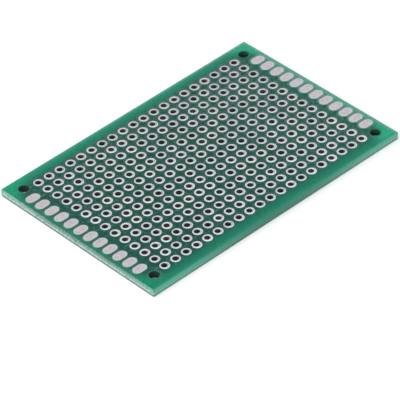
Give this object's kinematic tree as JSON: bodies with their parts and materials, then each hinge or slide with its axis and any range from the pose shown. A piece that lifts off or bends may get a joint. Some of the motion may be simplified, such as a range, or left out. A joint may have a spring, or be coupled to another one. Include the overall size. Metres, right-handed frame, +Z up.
{
  "type": "prototype board",
  "caption": "Flat rectangular circuit board with a grid of plated through-holes, oval pads along both ends and a mounting hole in each corner, for soldering circuits by hand.",
  "frame": {"origin": "centre of the board, in the plane of the underside pads that it rests on", "axes": "+X along the long side, +Y across the board, +Z up out of the top face"},
  "size_m": [0.06, 0.04, 0.0016],
  "materials": {
    "laminate": "glass-epoxy laminate, translucent pale green, rough fibres where the edges were snapped",
    "solder_mask": "green solder mask, satin gloss, slightly see-through",
    "plating": "tinned copper, pale and softly reflective, levelled solder",
    "end_pad": "tinned copper, satin, faintly mottled, with a brighter rim"
  },
  "bodies": {
    "root": {"scored_laminate": "laminate", "solder_mask_top": "solder_mask", "solder_mask_bottom": "solder_mask", "plated_holes_row_1": "plating", "plated_holes_row_2": "plating", "plated_holes_row_3": "plating", "plated_holes_row_4": "plating", "plated_holes_row_5": "plating", "plated_holes_row_6": "plating", "plated_holes_row_7": "plating", "plated_holes_row_8": "plating", "plated_holes_row_9": "plating", "plated_holes_row_10": "plating", "plated_holes_row_11": "plating", "plated_holes_row_12": "plating", "plated_holes_row_13": "plating", "plated_holes_row_14": "plating", "end_pads_top_left": "end_pad", "end_pads_top_right": "end_pad", "end_pads_bottom_left": "end_pad", "end_pads_bottom_right": "end_pad"}
  },
  "joints": []
}
